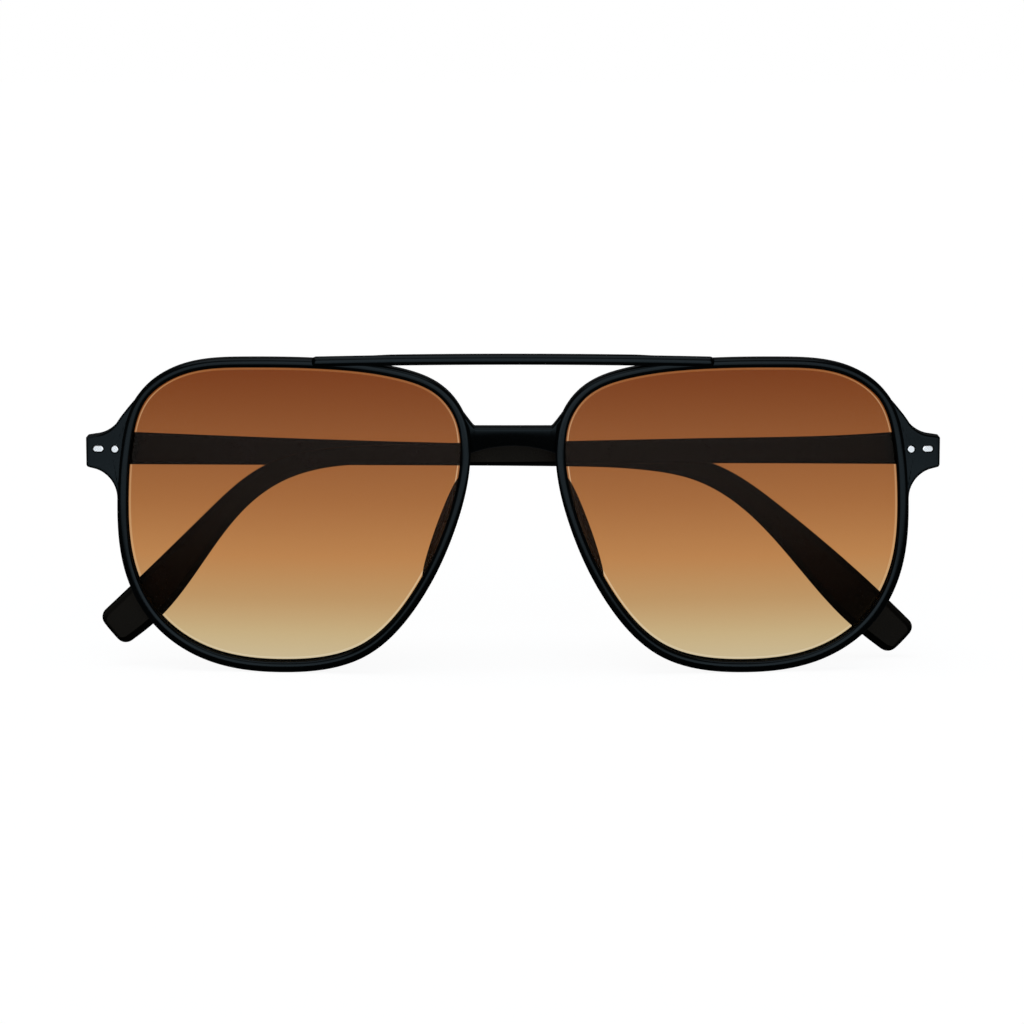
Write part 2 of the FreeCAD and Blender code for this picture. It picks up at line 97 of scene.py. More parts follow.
def add_node(tree, kind, inputs=None, **settings):
    """Adds one node; an input is a number, a colour or another node's output to link."""
    made = tree.nodes.new(kind)
    for name, value in settings.items():
        setattr(made, name, value)
    for key, value in (inputs or {}).items():
        if isinstance(value, bpy.types.NodeSocket):
            tree.links.new(value, made.inputs[key])
        else:
            made.inputs[key].default_value = value
    return made


# %% World
ROOM_GLOW, CARD_GLOW = 0.03, 1.5     # what comes back, where white paper sends 1
CARD_EDGE, CARD_MIDDLE = np.radians((46.0, 22.0))
bpy.context.scene.view_settings.view_transform = "Standard"
world = bpy.data.worlds.new("studio")
world.use_nodes = True
bpy.context.scene.world = world
tree = world.node_tree
tree.nodes.clear()
direction = add_node(tree, "ShaderNodeTexCoord").outputs["Generated"]
frontwards = add_node(tree, "ShaderNodeSeparateXYZ", {0: direction}).outputs["Y"]
card = add_node(tree, "ShaderNodeMapRange", {
    "Value": frontwards, "From Min": -np.cos(CARD_EDGE), "From Max": -np.cos(CARD_MIDDLE),
    "To Min": ROOM_GLOW, "To Max": CARD_GLOW}, interpolation_type="SMOOTHSTEP").outputs[0]
room = add_node(tree, "ShaderNodeBackground", {"Color": rgba("#eef4fa"), "Strength": card})
white = add_node(tree, "ShaderNodeBackground", {"Color": rgba("#ffffff"), "Strength": 1.0})
is_seen = add_node(tree, "ShaderNodeLightPath").outputs["Is Camera Ray"]
both = add_node(tree, "ShaderNodeMixShader", {0: is_seen, 1: room.outputs[0], 2: white.outputs[0]})
add_node(tree, "ShaderNodeOutputWorld", {"Surface": both.outputs[0]})


# %% The wide soft light
LIGHT_PLACE = np.array([-60.0, -120.0, 700.0])
light_data = bpy.data.lights.new("wide_soft_light", "SUN")
light_data.energy = 0.7
light_data.angle = np.radians(60)
light_data.color = tuple(linear("#f6faff"))
light = bpy.data.objects.new("wide_soft_light", light_data)
light.location = LIGHT_PLACE * MM
light.rotation_euler = Vector(AIM - LIGHT_PLACE).to_track_quat("-Z", "Y").to_euler()
light.visible_camera = False
bpy.context.scene.collection.objects.link(light)
print("light angle", round(np.degrees(light_data.angle)), "degrees")

# %% [markdown]
# ## Numpy surfaces
# Every piece is an array of points with two directions: around its section and along its length.
# One function turns such an array into a mesh, joining its ends where they close.

# %% Mesh from a grid
def grid_faces(rows, columns, close_rows, close_columns):
    """Corner numbers of the quads between neighbouring grid points, wrapped where closed."""
    r = np.arange(rows if close_rows else rows - 1)
    c = np.arange(columns if close_columns else columns - 1)
    r, c = np.meshgrid(r, c, indexing="ij")
    r_next, c_next = (r + 1) % rows, (c + 1) % columns
    quads = np.stack([r * columns + c, r * columns + c_next,
                      r_next * columns + c_next, r_next * columns + c], axis=-1)
    return quads.reshape(-1, 4)


SHARP_DEGREES = 32.0


def grid_mesh(grids, sharp_degrees=SHARP_DEGREES):
    """One mesh of several grids, each (points, close_rows, close_columns, cap_ends).

    A cap is one point at the middle of an end row, joined to that row by triangles. Normals are
    made to point outwards, and edges sharper than a limit stay sharp in shading.
    """
    vertices, faces = [], []
    start = 0
    for points, close_rows, close_columns, cap in grids:
        rows, columns = points.shape[:2]
        vertices.append(points.reshape(-1, 3))
        faces += (grid_faces(rows, columns, close_rows, close_columns) + start).tolist()
        count = rows * columns
        if cap:
            ends = np.stack([points[0].mean(0), points[-1].mean(0)])
            vertices.append(ends)
            ring = np.arange(columns)
            after = (ring + 1) % columns
            first = np.stack([ring, np.full(columns, count), after], -1) + start
            last = np.stack([ring + (rows - 1) * columns, after + (rows - 1) * columns,
                             np.full(columns, count + 1)], -1) + start
            faces += first.tolist() + last.tolist()
            count += 2
        start += count
    mesh = bpy.data.meshes.new("surface")
    mesh.from_pydata((np.concatenate(vertices) * MM).tolist(), [], faces)
    work = bmesh.new()
    work.from_mesh(mesh)
    bmesh.ops.remove_doubles(work, verts=work.verts, dist=1e-7)
    bmesh.ops.recalc_face_normals(work, faces=work.faces)
    shade(work, sharp_degrees)
    work.to_mesh(mesh)
    work.free()
    return mesh


def shade(work, sharp_degrees):
    """Smooth shading, with edges sharper than the limit kept sharp."""
    limit = np.radians(sharp_degrees)
    for face in work.faces:
        face.smooth = True
    for edge in work.edges:
        edge.smooth = edge.calc_face_angle(0.0) < limit


def piece(name, mesh, material, body, slot, *replaced):
    """Puts a mesh in the scene as a piece that rides on a body and stands for CAD nodes."""
    mesh.name = name
    mesh.materials.clear()
    mesh.materials.append(material)
    made = bpy.data.objects.new(name, mesh)
    bpy.context.scene.collection.objects.link(made)
    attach(made, body)
    if replaced:
        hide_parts(*replaced)
    print(f"{name}: {len(mesh.polygons)} faces")
    return made


# %% [markdown]
# ## Outlines
# The lens opening is the same smooth closed curve that the CAD part is cut with: a cubic curve through
# a few listed points, as a draughtsman's spline would run through pins.

# %% Smooth curves
def smooth_curve(points, closed, count):
    """Evenly spaced points on the cubic spline through given ones.

    The spline's parameter is the chord length. Its second derivatives solve one linear system:
    the slope is continuous at each point, and the ends are free, or joined on a closed curve.
    """
    p = np.array(points, float)
    if closed:
        p = np.vstack([p, p[:1]])
    chord = np.linalg.norm(np.diff(p, axis=0), axis=1)
    knots = np.concatenate([[0.0], np.cumsum(chord)])
    n = len(p)
    system, right = np.zeros((n, n)), np.zeros((n, p.shape[1]))
    slope = np.diff(p, axis=0) / chord[:, None]
    for i in range(1, n - 1):
        system[i, i - 1:i + 2] = chord[i - 1], 2 * (chord[i - 1] + chord[i]), chord[i]
        right[i] = 6 * (slope[i] - slope[i - 1])
    if closed:
        system[0, 0], system[0, -1] = 1, -1
        system[-1, [0, 1, -2, -1]] = 2 * chord[0], chord[0], chord[-1], 2 * chord[-1]
        right[-1] = 6 * (slope[0] - slope[-1])
    else:
        system[0, 0] = system[-1, -1] = 1
    bend = np.linalg.solve(system, right)
    fine = np.linspace(0, knots[-1], 4000)
    i = np.clip(np.searchsorted(knots, fine, side="right") - 1, 0, n - 2)
    h, a, b = chord[i][:, None], (knots[i + 1] - fine)[:, None], (fine - knots[i])[:, None]
    curve = (bend[i] * a ** 3 / (6 * h) + bend[i + 1] * b ** 3 / (6 * h)
             + (p[i] / h - bend[i] * h / 6) * a + (p[i + 1] / h - bend[i + 1] * h / 6) * b)
    return resample(curve, np.linspace(0, 1, count, endpoint=not closed))


def resample(curve, shares):
    """Points of a polyline at given shares of its length."""
    length = np.concatenate([[0.0], np.cumsum(np.linalg.norm(np.diff(curve, axis=0), axis=1))])
    at = np.asarray(shares) * length[-1]
    return np.stack([np.interp(at, length, curve[:, k]) for k in range(curve.shape[1])], -1)


# %% The face that everything follows
FACE_RADIUS, FACE_HEIGHT, FACE_Y = 300.0, 26.0, -12.3


def face_y(x, z, depth):
    """Y of the sphere that lies a depth behind the front face, straight behind (x, z)."""
    inner = (FACE_RADIUS - depth) ** 2 - x ** 2 - (z - FACE_HEIGHT) ** 2
    return FACE_Y + FACE_RADIUS - np.sqrt(inner)


def behind_face(plan, depth):
    """Plan points (x, z) at depths behind the front face, as points in space."""
    x, z = plan[..., 0], plan[..., 1]
    return np.stack([x, face_y(x, z, depth), z], -1)


# %% Lens opening
OPENING = [
    (8.75, 37.2), (9.6, 42.9), (12.6, 46.9), (19.0, 49.6), (31.4, 51.1), (45.0, 51.2),
    (55.8, 49.6), (61.6, 45.2), (63.9, 38.5), (64.7, 28.5), (63.7, 17.6), (59.4, 9.2),
    (52.2, 4.0), (38.5, 1.8), (25.4, 4.6), (17.4, 12.7), (10.95, 26.1),
]
OPENING_STEPS = 420
opening = smooth_curve(OPENING, True, OPENING_STEPS)
along = np.roll(opening, -1, 0) - np.roll(opening, 1, 0)
along /= np.linalg.norm(along, axis=1)[:, None]
outward = np.stack([-along[:, 1], along[:, 0]], -1)
size_mm = opening.max(0) - opening.min(0)
print("lens opening", np.round(size_mm, 2), "mm")

# %% [markdown]
# ## Materials
# Each finish starts from what the real one is and how its surface was made.

# %% Material helpers
def material(name):
    """An empty node material; returns it with its tree and its object coordinates."""
    made = bpy.data.materials.new(name)
    made.use_nodes = True
    made.node_tree.nodes.clear()
    where = add_node(made.node_tree, "ShaderNodeTexCoord").outputs["Object"]
    return made, made.node_tree, where


def noise(tree, where, size, detail=3.0, roughness=0.55):
    """Noise whose largest blobs are about a size in mm across."""
    return add_node(tree, "ShaderNodeTexNoise", {
        "Vector": where, "Scale": 1.0 / (size * MM), "Detail": detail,
        "Roughness": roughness}).outputs["Fac"]


def ranged(tree, value, low, high, to_low, to_high):
    return add_node(tree, "ShaderNodeMapRange", {
        "Value": value, "From Min": low, "From Max": high,
        "To Min": to_low, "To Max": to_high}).outputs[0]


def blended(tree, share, first, second):
    """Two colours mixed by a share."""
    mix = add_node(tree, "ShaderNodeMix", {0: share}, data_type="RGBA")
    for index, colour in ((6, first), (7, second)):
        if isinstance(colour, bpy.types.NodeSocket):
            tree.links.new(colour, mix.inputs[index])
        else:
            mix.inputs[index].default_value = colour
    return mix.outputs[2]


def raised(tree, height, distance, strength):
    """Small relief from a height, its full depth a distance in mm."""
    return add_node(tree, "ShaderNodeBump", {
        "Height": height, "Distance": distance * MM, "Strength": strength}).outputs["Normal"]


def surface(tree, **inputs):
    """A Principled surface to the output; names use underscores for spaces."""
    shader = add_node(tree, "ShaderNodeBsdfPrincipled",
                      {key.replace("_", " "): value for key, value in inputs.items()})
    add_node(tree, "ShaderNodeOutputMaterial", {"Surface": shader.outputs[0]})
    return shader


# %% [markdown]
# ### Black injection-moulded nylon
# The front and the temples are nylon, moulded black and tumbled to a satin. The tool's fine
# spark-eroded grain scatters some of the shine, so the mirror part is weaker than nylon's own.
# The gloss varies in cloudy patches a few millimetres wide, where hands have polished it. The
# front's black has a little blue in it, and the temples' black is neutral and duller.

# %% Black plastics
GRAIN = 0.25                 # mm; the real grain is about 0.1, drawn coarser so that it shows
POLISHED_PATCH = 9.0


def black_nylon(name, base, lifted, sheen, shine, gloss):
    """Satin black plastic: cloudy gloss, faint colour drift and fine moulded grain."""
    made, tree, where = material(name)
    clouds = noise(tree, where, POLISHED_PATCH)
    grain = noise(tree, where, GRAIN, detail=2.0)
    colour = blended(tree, ranged(tree, clouds, 0.35, 0.65, 0.0, 1.0), rgba(base), rgba(lifted))
    mixed = add_node(tree, "ShaderNodeMath", {0: clouds, 1: grain}, operation="ADD").outputs[0]
    surface(tree, Base_Color=colour, Roughness=ranged(tree, mixed, 0.7, 1.3, *gloss), IOR=1.53,
            Specular_IOR_Level=shine, Specular_Tint=rgba(sheen),
            Normal=raised(tree, grain, 0.004, 0.3))
    return made


front_nylon = black_nylon("moulded_nylon_front_satin", "#040505", "#070808", "#cde6f2", 0.22,
                          (0.13, 0.20))
brow_nylon = black_nylon("moulded_nylon_brow_bar_satin", "#040505", "#070808", "#cde6f2", 0.22,
                         (0.13, 0.20))
temple_nylon = black_nylon("moulded_nylon_temple_satin", "#040404", "#060605", "#fff1dd", 0.09,
                           (0.26, 0.36))

# %% [markdown]
# ### Graduated polycarbonate lens
# The lens is dipped in brown dye and drawn out slowly, so its top is dark and its bottom pale.
# The tint goes on the light that passes, as a Transparent colour on each of the two faces, and the
# faces add a weak, widely blurred reflection, so the black temples look a little hazy behind them. A
# refracting glass shader would only add noise here, because a lens of even thickness hardly bends the
# view. Close to the rim a narrow ring on both faces takes only half the tint, so a pale line runs
# round the lens: a painted highlight for the light caught in the lens edge.

# %% Lens
TINT_STOPS = [  # height above the table in mm, colour of white paper seen through the lens
    (2.5, "#cfbc95"), (6.5, "#c9b083"), (12.5, "#bf9766"), (19.5, "#bb834f"),
    (29.0, "#a46a3b"), (41.0, "#8b5129"), (51.5, "#753711"),
]


def dyed_lens(name, strength):
    """Clear plastic whose passing light takes the tint's square root, to a strength, per face."""
    made, tree, where = material(name)
    height = add_node(tree, "ShaderNodeSeparateXYZ", {0: where}).outputs["Z"]
    low, high = TINT_STOPS[0][0], TINT_STOPS[-1][0]
    ramp = add_node(tree, "ShaderNodeValToRGB", {0: ranged(tree, height, low * MM, high * MM, 0, 1)})
    elements = ramp.color_ramp.elements
    while len(elements) < len(TINT_STOPS):
        elements.new(0.5)
    for element, (z, colour) in zip(elements, TINT_STOPS):
        element.position = (z - low) / (high - low)
        element.color = (*linear(colour) ** (0.5 * strength), 1.0)
    clear = add_node(tree, "ShaderNodeBsdfTransparent", {"Color": ramp.outputs["Color"]})
    polish = add_node(tree, "ShaderNodeBsdfGlossy", {"Color": rgba("#fff4e6"), "Roughness": 0.28})
    fresnel = add_node(tree, "ShaderNodeFresnel", {"IOR": COATED_IOR})
    both = add_node(tree, "ShaderNodeMixShader",
                    {0: fresnel.outputs[0], 1: clear.outputs[0], 2: polish.outputs[0]})
    add_node(tree, "ShaderNodeOutputMaterial", {"Surface": both.outputs[0]})
    return made


COATED_IOR = 1.22            # polycarbonate is 1.58; a coating leaves about an eighth of its shine
tinted_lens = dyed_lens("polycarbonate_lens_graduated_brown", 1.0)
# Half the tint on a ring by the rim: a painted highlight, the pale line of light caught in the lens
# edge.
lens_edge_painted_highlight = dyed_lens("polycarbonate_lens_painted_edge_highlight", 0.5)

# %% [markdown]
# ### Metals and pads
# The studs are polished steel pins ground flush with the plastic, the hinge leaves are stamped
# nickel silver, and the screws are turned stainless steel. The pads are dark smoky nylon.

# %% Metals
def steel(name, colour, shadow, gloss_low, gloss_high, grain_size, stretch, depth=0.01):
    """Bare metal with fine scratches drawn out along one direction."""
    made, tree, where = material(name)
    drawn_out = add_node(tree, "ShaderNodeMapping", {"Vector": where, "Scale": stretch})
    scratches = noise(tree, drawn_out.outputs[0], grain_size, detail=4.0, roughness=0.7)
    mixed = blended(tree, ranged(tree, scratches, 0.3, 0.7, 0.0, 1.0), rgba(shadow), rgba(colour))
    surface(tree, Base_Color=mixed, Metallic=1.0,
            Roughness=ranged(tree, scratches, 0.3, 0.7, gloss_high, gloss_low),
            Normal=raised(tree, scratches, depth, 0.25))
    return made


stud_steel = steel("polished_silver_stud", "#ffffff", "#f8f9fa", 0.16, 0.26, 0.6, (1, 1, 1), 0.001)
hinge_metal = steel("stamped_nickel_silver_hinge", "#c9c6bd", "#a9a69c", 0.26, 0.40, 0.35, (1, 1, 4))
screw_metal = steel("turned_stainless_steel_screw", "#c4c7ca", "#9da1a4", 0.18, 0.32, 0.2, (1, 1, 6))
core_metal = steel("drawn_steel_core_wire", "#b4b4b2", "#8d8d8b", 0.25, 0.38, 0.25, (0.2, 1, 1))

# %% Nose pads
made, tree, where = material("smoky_nylon_nose_pad")
pad_nylon = made
clouds = noise(tree, where, 4.0)
surface(tree, Base_Color=blended(tree, clouds, rgba("#5a4c3f"), rgba("#705f4e")),
        Roughness=ranged(tree, clouds, 0.3, 0.7, 0.22, 0.34), IOR=1.53,
        Normal=raised(tree, noise(tree, where, 0.4), 0.01, 0.2))

# %% [markdown]
# ## The rims
# Each rim is one closed section carried round the lens opening: a domed crown in front, straight
# sides, a rounded back, and the groove that holds the lens. The crown's top lies a little outside
# the middle, so its lens side is the wider slope. The section's two numbers are the distance out
# from the opening and the depth behind the front face.

# %% Rim section
RIM_WIDTH, RIM_DROP, RIM_DEPTH = 1.7, 0.099, 4.0
CROWN, CROWN_TOP = 0.55, 0.95    # height of the domed crown, and how far out its top lies
GROOVE_FRONT, GROOVE_BACK, GROOVE_REACH = 1.25, 3.35, 0.65
OUTER_ROUND, INNER_ROUND = 0.5, 0.35     # radii of the two edges at the back


def rim_section():
    """The rim's section as (out, depth): two quarter ellipses in front, sides, back and groove."""
    turn = np.linspace(0, np.pi, 25)
    reach = np.where(turn < np.pi / 2, CROWN_TOP, RIM_WIDTH - CROWN_TOP)
    crown = np.stack([CROWN_TOP - reach * np.cos(turn), CROWN * (1 - np.sin(turn))], -1)
    quarter = np.linspace(0, np.pi / 2, 7)
    outer = np.stack([RIM_WIDTH - OUTER_ROUND * (1 - np.cos(quarter)),
                      RIM_DEPTH - OUTER_ROUND * (1 - np.sin(quarter))], -1)
    inner = np.stack([INNER_ROUND * (1 - np.sin(quarter)),
                      RIM_DEPTH - INNER_ROUND * (1 - np.cos(quarter))], -1)
    groove = [(0.0, GROOVE_BACK), (GROOVE_REACH, GROOVE_BACK),
              (GROOVE_REACH, GROOVE_FRONT), (0.0, GROOVE_FRONT)]
    return np.concatenate([crown, outer, inner, groove])


def rim_points(side):
    """Every section point at every step of the opening: outline + out * normal, then the depth."""
    out, depth = rim_section().T
    plan = opening[:, None, :] + outward[:, None, :] * out[None, :, None]
    plan = plan - np.array([0.0, RIM_DROP]) * (out / RIM_WIDTH)[None, :, None]
    points = behind_face(plan, depth[None, :])
    return points * np.array([side, 1.0, 1.0])


# %% [markdown]
# ## Bars with rounded edges
# The bridge and the brow bar are bars that run across the face, with a top and a bottom edge that
# change along X. Each section is a rounded rectangle between those edges and between a front and
# a back surface, and an end can close with the same rounding.

# %% Bar function
CORNER_STEPS = 9


def bar_points(x, bottom, top, front, back, edge, close=(0.0, 0.0)):
    """Sections along x: a rounded rectangle from bottom(x) to top(x), front(x, z) to back(x, z).

    Near an end that closes with a radius r, the section shrinks by r - sqrt(r^2 - t^2), where t
    is how far the section is past the start of the rounding.
    """
    shrink = np.zeros_like(x)
    for radius, reach in ((close[0], x[0] + close[0] - x), (close[1], x - (x[-1] - close[1]))):
        if radius:
            t = np.clip(reach, 0, radius)
            shrink = np.maximum(shrink, radius - np.sqrt(radius ** 2 - t ** 2))
    edge = np.minimum(edge, 0.49 * (top - bottom) - 0.5 * shrink)     # keeps a sliver of flat
    turn = np.linspace(0, np.pi / 2, CORNER_STEPS)
    corner_z = np.concatenate([np.sin(turn), np.cos(turn), -np.sin(turn), -np.cos(turn)])
    corner_y = np.concatenate([-np.cos(turn), np.sin(turn), np.cos(turn), -np.sin(turn)])
    quarter = np.arange(4 * CORNER_STEPS) // CORNER_STEPS
    high, far = quarter < 2, (quarter == 1) | (quarter == 2)
    lo, hi = (bottom + shrink)[:, None], (top - shrink)[:, None]
    r = np.maximum(edge - shrink, 0.02)[:, None]
    z = np.where(high[None], hi - r, lo + r) + r * corner_z[None]
    xs = np.repeat(x[:, None], 4 * CORNER_STEPS, axis=1)
    y = np.where(far[None], back(xs, z) - shrink[:, None] - r + r * corner_y[None],
                 front(xs, z) + shrink[:, None] + r + r * corner_y[None])
    return np.stack([xs, y, z], -1)


def spaced(start, end, dense_start, dense_end, step):
    """Places from start to end, closer together inside the rounded ends."""
    ease = 1 - np.cos(np.linspace(0, np.pi / 2, 12))
    parts = [np.linspace(start + dense_start, end - dense_end,
                         max(2, int((end - start) / step)))]
    if dense_start:
        parts.insert(0, start + dense_start * ease[:-1])
    if dense_end:
        parts.append(end - dense_end * ease[::-1][1:])
    return np.concatenate(parts)


# %% [markdown]
# ## The front
# The bridge and the end pieces lie a little lower than the rims' crowns, so each rim shows as a
# ridge that runs on past them. They are united with the rims into one closed shell, because the
# real front comes out of one mould.

# %% Bridge
BRIDGE_TOP, BRIDGE_BOTTOM = 41.7, 38.4
BRIDGE_HALF, BRIDGE_FLAT = 8.6, 6.35
BRIDGE_DEPTH = 0.3
BRIDGE_RIDGE, BRIDGE_FALL = 41.1, 0.35   # below the ridge the face leans back by this slope
FLARE_SLOPE, FLARE_EASE = 1.35, 0.25     # how steeply the top rises to a rim, and how softly
ARCH_RISE, BRIDGE_EDGE = 2.0, 0.6


def bridge_points():
    """Across the nose: flat on top and rising steeply into the rims, a shallow arch below.

    The rise is slope * t^2 / (t + ease), with t the way past the flat. The arch is a circle.
    """
    x = np.linspace(-BRIDGE_HALF, BRIDGE_HALF, 121)
    past = np.clip(np.abs(x) - BRIDGE_FLAT, 0, None)
    top = BRIDGE_TOP + FLARE_SLOPE * past ** 2 / (past + FLARE_EASE)
    arch_radius = (BRIDGE_HALF ** 2 + ARCH_RISE ** 2) / (2 * ARCH_RISE)
    bottom = BRIDGE_BOTTOM - arch_radius + np.sqrt(arch_radius ** 2 - x ** 2)

    def front(x, z):
        return face_y(x, z, BRIDGE_DEPTH) + BRIDGE_FALL * np.clip(BRIDGE_RIDGE - z, 0, None)

    return bar_points(x, bottom, top, front, lambda x, z: face_y(x, z, RIM_DEPTH), BRIDGE_EDGE)


# %% Drawn outlines
def three_point_arc(start, middle, end, count=24):
    """Points of the circular arc through three points: its centre is equally far from all."""
    a, b, c = (np.array(p, float) for p in (start, middle, end))
    sides = 2 * np.array([b - a, c - a])
    centre = np.linalg.solve(sides, [b @ b - a @ a, c @ c - a @ a])
    angles = [np.arctan2(*(p - centre)[::-1]) for p in (a, b, c)]
    turn = (np.array(angles[1:]) - angles[0]) % (2 * np.pi)
    sweep = turn[1] if turn[0] < turn[1] else turn[1] - 2 * np.pi
    at = angles[0] + sweep * np.linspace(0, 1, count)
    return centre + np.linalg.norm(a - centre) * np.stack([np.cos(at), np.sin(at)], -1)


def closed_outline(curves, count):
    """Curves joined by straight lines to a closed outline, with evenly spaced points."""
    whole = np.concatenate(curves + [curves[0][:1]])
    return resample(whole, np.linspace(0, 1, count, endpoint=False))


def inset(outline, amount):
    """A counter-clockwise outline moved inwards along its normals."""
    along = np.roll(outline, -1, 0) - np.roll(outline, 1, 0)
    along /= np.linalg.norm(along, axis=1)[:, None]
    return outline + np.stack([-along[:, 1], along[:, 0]], -1) * amount


def plate_points(outline, middle, depth, back, edge):
    """A plate from the face at a depth to a back surface, its front edge rounded.

    Rings of the inset outline shrink to a middle point on both faces; between the faces the
    rings turn through a quarter round and then go straight back.
    """
    turn = np.linspace(0, np.pi / 2, 7)
    rings, depths = [], []
    inner = inset(outline, edge)
    for share in np.linspace(0.05, 1.0, 9):
        rings.append(middle + (inner - middle) * share)
        depths.append(depth)
    for t in turn[1:]:
        rings.append(inset(outline, edge * (1 - np.sin(t))))
        depths.append(depth + edge * (1 - np.cos(t)))
    front = behind_face(np.stack(rings), np.array(depths)[:, None])
    behind = []
    for share in (1.0, 0.97, 0.5, 0.05):
        plan = middle + (outline - middle) * share
        behind.append(np.stack([plan[:, 0], back(plan[:, 0], plan[:, 1]), plan[:, 1]], -1))
    return np.concatenate([front, np.stack(behind)])


# %% End pieces
END_DEPTH = 0.24
END_EDGE = 0.3
END_MIDDLE = np.array([67.3, 36.7])
left_hinge = JOINTS["temple_left"]
HINGE = np.array(left_hinge["pos_m"]) / MM
LEAN = np.arctan2(left_hinge["axis"][1], left_hinge["axis"][2])
HINGE_GAP = 1.95             # the plastic's back; the hinge leaf let into it stands 0.05 proud


def end_outline():
    """Level edges with small corners outside, hollow fillets into the rim above and below."""
    return closed_outline([
        three_point_arc((62.3, 45.6), (64.6, 36.5), (65.6, 28.6)),
        three_point_arc((66.4, 29.0), (67.8, 32.45), (69.9, 33.75), 60),
        three_point_arc((71.2, 34.05), (71.53, 34.25), (71.63, 34.65), 8),
        three_point_arc((71.67, 38.9), (71.57, 39.14), (71.35, 39.22), 8),
        three_point_arc((70.2, 39.4), (67.8, 40.25), (66.2, 41.95), 60),
        three_point_arc((65.6, 42.8), (64.3, 44.4), (62.9, 45.95), 30),
    ], 480)


def behind_end_piece(x, z):
    """The end piece's back: a plane that leans with the hinge axis, a gap in front of it."""
    return HINGE[1] + (np.sin(LEAN) * (z - HINGE[2]) - HINGE_GAP) / np.cos(LEAN)


def end_points(side):
    points = plate_points(end_outline(), END_MIDDLE, END_DEPTH, behind_end_piece, END_EDGE)
    return points * np.array([side, 1.0, 1.0])


# %% Union of the front
def united(meshes):
    """The outer shell of several closed meshes, by Blender's exact boolean."""
    holder = bpy.data.collections.new("others")
    objects = [bpy.data.objects.new(f"part{i}", mesh) for i, mesh in enumerate(meshes)]
    for made in objects:
        bpy.context.scene.collection.objects.link(made)
    for made in objects[1:]:
        holder.objects.link(made)
    join = objects[0].modifiers.new("union", "BOOLEAN")
    join.operation, join.solver = "UNION", "EXACT"
    join.operand_type, join.collection = "COLLECTION", holder
    bpy.context.view_layer.update()
    whole = bpy.data.meshes.new_from_object(
        objects[0].evaluated_get(bpy.context.evaluated_depsgraph_get()))
    for made in objects:
        bpy.data.objects.remove(made)
    bpy.data.collections.remove(holder)
    work = bmesh.new()
    work.from_mesh(whole)
    bmesh.ops.remove_doubles(work, verts=work.verts, dist=2e-6)
    bmesh.ops.dissolve_degenerate(work, edges=work.edges, dist=1e-6)
    shade(work, SHARP_DEGREES)
    work.to_mesh(whole)
    work.free()
    return whole


front_parts = [grid_mesh([(bridge_points(), False, True, True)])]
for side in (-1.0, 1.0):
    front_parts.append(grid_mesh([(rim_points(side), True, True, False)]))
    front_parts.append(grid_mesh([(end_points(side), False, True, True)]))
piece("front_moulding", united(front_parts), front_nylon, "front", "front_plastic",
      "front_frame")

# %% [markdown]
# ## The brow bar
# A slim bar laid over both rims, almost fully round in front, with domed ends.

# %% Brow bar
BROW_HALF, BROW_HEIGHT, BROW_TOP = 33.5, 1.75, 53.749
BROW_DROP, BROW_PROUD = 0.55, 0.45
BROW_EDGE, BROW_END = 0.82, 0.8       # radii along its length and at its ends
BROW_THICK, BROW_THIN = 2.3, 1.1      # depth between the rims and over them
THINS_FROM, THINS_OVER = 20.0, 4.0


def brow_points():
    """Arched strip: the top edge falls as x squared; the bar is thicker between the rims."""
    x = spaced(-BROW_HALF, BROW_HALF, BROW_END, BROW_END, 0.5)
    top = BROW_TOP - BROW_DROP * (x / BROW_HALF) ** 2
    over_rims = np.clip((np.abs(x) - THINS_FROM) / THINS_OVER, 0, 1)
    thick = BROW_THICK - (BROW_THICK - BROW_THIN) * over_rims ** 2 * (3 - 2 * over_rims)
    return bar_points(x, top - BROW_HEIGHT, top, lambda x, z: face_y(x, z, -BROW_PROUD),
                      lambda x, z: face_y(x, z, thick[:, None]), BROW_EDGE, close=(BROW_END, BROW_END))


piece("brow_bar_round", grid_mesh([(brow_points(), False, True, True)]), brow_nylon,
      "front", "brow_plastic", "brow_bar")

# %% [markdown]
# ## The lenses
# A lens is a shell of even thickness between two spheres about one centre, cut to the groove's
# outline: rings of the outline shrink towards the middle to fill each face.

# %% Lenses
LENS_LIP, LENS_SETBACK, LENS_THICKNESS = 0.6, 1.3, 2.0
# The ring between these two gets the painted edge highlight, at half the tint.
BEVEL_FROM, BEVEL_TO = 0.22, 0.42     # in from the opening


def lens_points(side):
    """Front face from the middle out, the edge, and the back face in again, as one grid."""
    rim = opening + outward * LENS_LIP
    outer, inner = (opening - outward * amount for amount in (BEVEL_FROM, BEVEL_TO))
    middle = rim.mean(0)
    share = np.linspace(0.001, 1.0, 30)[:, None, None]
    face = np.concatenate([middle + (inner - middle) * share, outer[None], rim[None]])
    plan = np.concatenate([face, face[::-1]])
    depths = np.repeat([LENS_SETBACK, LENS_SETBACK + LENS_THICKNESS], len(face))
    return behind_face(plan, depths[:, None]) * np.array([side, 1.0, 1.0])


def painted_highlight_faces(mesh, side):
    """Gives the painted edge highlight's material to the faces of both rings beside the rim."""
    centres = np.empty(len(mesh.polygons) * 3)
    mesh.polygons.foreach_get("center", centres)
    x, y, z = centres.reshape(-1, 3).T / MM
    middle_line = opening - outward * (BEVEL_FROM + BEVEL_TO) / 2
    middle_line = (middle_line + np.roll(middle_line, -1, 0)) / 2
    off_line = np.hypot(side * x[:, None] - middle_line[None, :, 0],
                        z[:, None] - middle_line[None, :, 1]).min(1)
    in_painted_highlight = off_line < (BEVEL_TO - BEVEL_FROM) / 2
    mesh.polygons.foreach_set("material_index", in_painted_highlight.astype(np.int32))
    print("bevel", int(in_painted_highlight.sum()), "faces")


